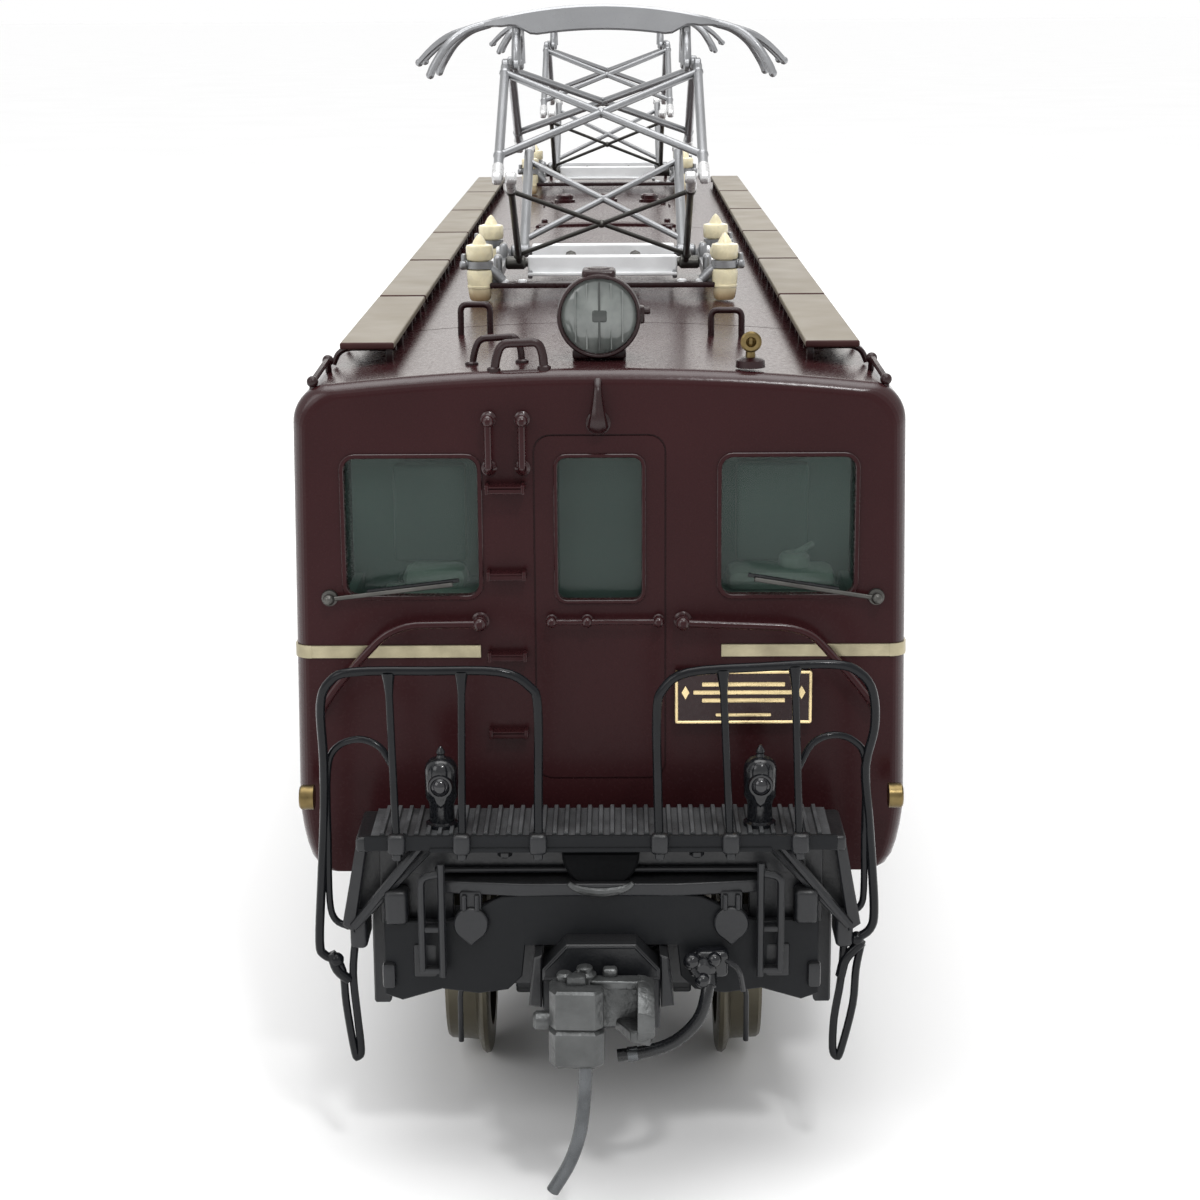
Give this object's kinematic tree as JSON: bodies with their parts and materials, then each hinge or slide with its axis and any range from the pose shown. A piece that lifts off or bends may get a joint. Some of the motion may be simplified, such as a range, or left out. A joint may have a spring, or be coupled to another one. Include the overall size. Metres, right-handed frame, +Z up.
{
  "type": "model electric locomotive",
  "caption": "Scale model electric locomotive with one flat end and one streamlined end, swivelling motor trucks, rolling wheelsets, knuckle couplers and folding roof pantographs.",
  "frame": {"origin": "on the plane that the wheel flanges stand on, midway between the coupler faces and on the track's centre line", "axes": "+Z up, +Y along the track towards the streamlined nose, +X across the track (the right side seen from the flat end)"},
  "size_m": [0.0356, 0.2174, 0.0666],
  "materials": {
    "maroon_paint": "semi-gloss sprayed maroon paint over brass, a little orange peel",
    "black_paint": "satin black paint over brass",
    "silver_paint": "satin silver paint and plated wire",
    "green_paint": "matt grey-green cab paint",
    "clear_sheet": "clear flush sheet, very slightly green",
    "porcelain": "cream insulator, satin",
    "brass": "turned brass, satin",
    "steel": "nickel-plated steel",
    "grey_metal": "dark grey die-cast metal, satin",
    "black_plastic": "black cast hose"
  },
  "bodies": {
    "body": {"body_shell": "maroon_paint", "window_glazing": "clear_sheet", "rear_cab_interior": "green_paint", "nose_cab_interior": "green_paint", "floor_plate": "black_paint", "headlight_housing": "maroon_paint", "headlight_lens": "clear_sheet", "whistle": "brass", "left_walkway": "maroon_paint", "right_walkway": "maroon_paint", "number_plate": "brass", "rear_panto_base": "silver_paint", "nose_panto_base": "silver_paint", "rear_insulator_1": "porcelain", "rear_insulator_2": "porcelain", "rear_insulator_3": "porcelain", "rear_insulator_4": "porcelain", "nose_insulator_1": "porcelain", "nose_insulator_2": "porcelain", "nose_insulator_3": "porcelain", "nose_insulator_4": "porcelain"},
    "rear_truck": {"rear_truck_frame": "black_paint", "rear_deck": "black_paint", "rear_pilot": "black_paint", "left_railing": "black_paint", "right_railing": "black_paint", "left_tail_lamp": "black_paint", "right_tail_lamp": "black_paint", "rear_air_hose": "black_plastic", "rear_motor_case": "steel"},
    "nose_truck": {"nose_truck_frame": "black_paint", "nose_pilot": "maroon_paint", "nose_motor_case": "steel"},
    "pony_truck": {"pony_frame": "black_paint"},
    "leading_bogie": {"leading_bogie_frame": "black_paint"},
    "pony_axle": {"pony_wheelset": "steel"},
    "leading_axle_1": {"leading_wheelset_1": "steel"},
    "leading_axle_2": {"leading_wheelset_2": "steel"},
    "drive_axle_1": {"drive_wheelset_1": "steel"},
    "drive_axle_2": {"drive_wheelset_2": "steel"},
    "drive_axle_3": {"drive_wheelset_3": "steel"},
    "drive_axle_4": {"drive_wheelset_4": "steel"},
    "drive_axle_5": {"drive_wheelset_5": "steel"},
    "drive_axle_6": {"drive_wheelset_6": "steel"},
    "rear_worm": {"rear_worm_shaft": "brass"},
    "rear_coupler": {"rear_coupler_head": "grey_metal"},
    "rear_knuckle": {"rear_coupler_knuckle": "grey_metal"},
    "rear_panto_lower_front": {"rear_panto_lower_front": "silver_paint"},
    "rear_panto_lower_back": {"rear_panto_lower_back": "silver_paint"},
    "rear_panto_upper_front": {"rear_panto_upper_front": "silver_paint"},
    "rear_panto_upper_back": {"rear_panto_upper_back": "silver_paint"},
    "rear_panto_head": {"rear_panto_head": "silver_paint"},
    "nose_worm": {"nose_worm_shaft": "brass"},
    "nose_coupler": {"nose_coupler_head": "grey_metal"},
    "nose_knuckle": {"nose_coupler_knuckle": "grey_metal"},
    "nose_panto_lower_front": {"nose_panto_lower_front": "silver_paint"},
    "nose_panto_lower_back": {"nose_panto_lower_back": "silver_paint"},
    "nose_panto_upper_front": {"nose_panto_upper_front": "silver_paint"},
    "nose_panto_upper_back": {"nose_panto_upper_back": "silver_paint"},
    "nose_panto_head": {"nose_panto_head": "silver_paint"}
  },
  "joints": [
    {"name": "rear_truck_swivel", "type": "hinge", "parent": "body", "child": "rear_truck", "pos_m": [0, -0.04925, 0.0174], "axis": [0, 0, 1], "range_deg": [-4, 4]},
    {"name": "nose_truck_swivel", "type": "hinge", "parent": "body", "child": "nose_truck", "pos_m": [0, 0.03425, 0.0174], "axis": [0, 0, 1], "range_deg": [-4, 4]},
    {"name": "pony_truck_swing", "type": "hinge", "parent": "rear_truck", "child": "pony_truck", "pos_m": [0, -0.0695, 0.0085], "axis": [0, 0, 1], "range_deg": [-6, 6]},
    {"name": "leading_bogie_swing", "type": "hinge", "parent": "nose_truck", "child": "leading_bogie", "pos_m": [0, 0.077, 0.0085], "axis": [0, 0, 1], "range_deg": [-5, 5]},
    {"name": "pony_axle_roll", "type": "hinge", "parent": "pony_truck", "child": "pony_axle", "pos_m": [0, -0.0835, 0.00677], "axis": [1, 0, 0], "continuous": true},
    {"name": "leading_axle_1_roll", "type": "hinge", "parent": "leading_bogie", "child": "leading_axle_1", "pos_m": [0, 0.065, 0.00677], "axis": [1, 0, 0], "continuous": true},
    {"name": "leading_axle_2_roll", "type": "hinge", "parent": "leading_bogie", "child": "leading_axle_2", "pos_m": [0, 0.089, 0.00677], "axis": [1, 0, 0], "continuous": true},
    {"name": "drive_axle_1_roll", "type": "hinge", "parent": "rear_truck", "child": "drive_axle_1", "pos_m": [0, -0.059, 0.0087], "axis": [1, 0, 0], "continuous": true},
    {"name": "drive_axle_2_roll", "type": "hinge", "parent": "rear_truck", "child": "drive_axle_2", "pos_m": [0, -0.0395, 0.0087], "axis": [1, 0, 0], "continuous": true},
    {"name": "drive_axle_3_roll", "type": "hinge", "parent": "rear_truck", "child": "drive_axle_3", "pos_m": [0, -0.02, 0.0087], "axis": [1, 0, 0], "continuous": true},
    {"name": "drive_axle_4_roll", "type": "hinge", "parent": "nose_truck", "child": "drive_axle_4", "pos_m": [0, 0.044, 0.0087], "axis": [1, 0, 0], "continuous": true},
    {"name": "drive_axle_5_roll", "type": "hinge", "parent": "nose_truck", "child": "drive_axle_5", "pos_m": [0, 0.0245, 0.0087], "axis": [1, 0, 0], "continuous": true},
    {"name": "drive_axle_6_roll", "type": "hinge", "parent": "nose_truck", "child": "drive_axle_6", "pos_m": [0, 0.005, 0.0087], "axis": [1, 0, 0], "continuous": true},
    {"name": "rear_worm_spin", "type": "hinge", "parent": "rear_truck", "child": "rear_worm", "pos_m": [0, -0.0638, 0.0155], "axis": [0, 1, 0], "continuous": true},
    {"name": "nose_worm_spin", "type": "hinge", "parent": "nose_truck", "child": "nose_worm", "pos_m": [0, 0.0488, 0.0155], "axis": [0, 1, 0], "continuous": true},
    {"name": "rear_coupler_swing", "type": "hinge", "parent": "rear_truck", "child": "rear_coupler", "pos_m": [0, -0.0975, 0.0122], "axis": [0, 0, 1], "range_deg": [-10, 10], "stiffness_Nm_per_rad": 0.0005},
    {"name": "rear_knuckle_open", "type": "hinge", "parent": "rear_coupler", "child": "rear_knuckle", "pos_m": [-0.002, -0.1067, 0.0122], "axis": [0, 0, -1], "range_deg": [0, 22], "stiffness_Nm_per_rad": 0.0003, "springref_deg": -11.46},
    {"name": "nose_coupler_swing", "type": "hinge", "parent": "nose_truck", "child": "nose_coupler", "pos_m": [0, 0.0975, 0.0122], "axis": [0, 0, 1], "range_deg": [-10, 10], "stiffness_Nm_per_rad": 0.0005},
    {"name": "nose_knuckle_open", "type": "hinge", "parent": "nose_coupler", "child": "nose_knuckle", "pos_m": [0.002, 0.1067, 0.0122], "axis": [0, 0, -1], "range_deg": [0, 22], "stiffness_Nm_per_rad": 0.0003, "springref_deg": -11.46},
    {"name": "rear_panto_raise", "type": "hinge", "parent": "body", "child": "rear_panto_lower_front", "pos_m": [0, -0.0574, 0.0486], "axis": [1, 0, 0], "range_deg": [0, 20], "stiffness_Nm_per_rad": 0.001, "springref_deg": -28.65},
    {"name": "rear_panto_lower_back_turn", "type": "hinge", "parent": "body", "child": "rear_panto_lower_back", "pos_m": [0, -0.0486, 0.0486], "axis": [1, 0, 0], "range_deg": [-20, 0]},
    {"name": "rear_panto_upper_front_turn", "type": "hinge", "parent": "rear_panto_lower_front", "child": "rear_panto_upper_front", "pos_m": [0, -0.07128, 0.05549], "axis": [1, 0, 0], "range_deg": [-40, 0]},
    {"name": "rear_panto_upper_back_turn", "type": "hinge", "parent": "rear_panto_lower_back", "child": "rear_panto_upper_back", "pos_m": [0, -0.03472, 0.05549], "axis": [1, 0, 0], "range_deg": [0, 40]},
    {"name": "rear_panto_head_level", "type": "hinge", "parent": "rear_panto_upper_front", "child": "rear_panto_head", "pos_m": [0, -0.0574, 0.06238], "axis": [1, 0, 0], "range_deg": [0, 20]},
    {"name": "nose_panto_raise", "type": "hinge", "parent": "body", "child": "nose_panto_lower_front", "pos_m": [0, 0.0436, 0.0486], "axis": [1, 0, 0], "range_deg": [0, 20], "stiffness_Nm_per_rad": 0.001, "springref_deg": -28.65},
    {"name": "nose_panto_lower_back_turn", "type": "hinge", "parent": "body", "child": "nose_panto_lower_back", "pos_m": [0, 0.0524, 0.0486], "axis": [1, 0, 0], "range_deg": [-20, 0]},
    {"name": "nose_panto_upper_front_turn", "type": "hinge", "parent": "nose_panto_lower_front", "child": "nose_panto_upper_front", "pos_m": [0, 0.02972, 0.05549], "axis": [1, 0, 0], "range_deg": [-40, 0]},
    {"name": "nose_panto_upper_back_turn", "type": "hinge", "parent": "nose_panto_lower_back", "child": "nose_panto_upper_back", "pos_m": [0, 0.06628, 0.05549], "axis": [1, 0, 0], "range_deg": [0, 40]},
    {"name": "nose_panto_head_level", "type": "hinge", "parent": "nose_panto_upper_front", "child": "nose_panto_head", "pos_m": [0, 0.0436, 0.06238], "axis": [1, 0, 0], "range_deg": [0, 20]}
  ],
  "couplings": [
    {"joint": "drive_axle_2_roll", "follows": "drive_axle_1_roll", "ratio": 1},
    {"joint": "drive_axle_3_roll", "follows": "drive_axle_1_roll", "ratio": 1},
    {"joint": "drive_axle_5_roll", "follows": "drive_axle_4_roll", "ratio": 1},
    {"joint": "drive_axle_6_roll", "follows": "drive_axle_4_roll", "ratio": 1},
    {"joint": "rear_worm_spin", "follows": "drive_axle_1_roll", "ratio": 20},
    {"joint": "nose_worm_spin", "follows": "drive_axle_4_roll", "ratio": 20},
    {"joint": "rear_panto_lower_back_turn", "follows": "rear_panto_raise", "ratio": -1},
    {"joint": "rear_panto_upper_front_turn", "follows": "rear_panto_raise", "ratio": -2},
    {"joint": "rear_panto_upper_back_turn", "follows": "rear_panto_raise", "ratio": 2},
    {"joint": "rear_panto_head_level", "follows": "rear_panto_raise", "ratio": 1},
    {"joint": "nose_panto_lower_back_turn", "follows": "nose_panto_raise", "ratio": -1},
    {"joint": "nose_panto_upper_front_turn", "follows": "nose_panto_raise", "ratio": -2},
    {"joint": "nose_panto_upper_back_turn", "follows": "nose_panto_raise", "ratio": 2},
    {"joint": "nose_panto_head_level", "follows": "nose_panto_raise", "ratio": 1}
  ]
}
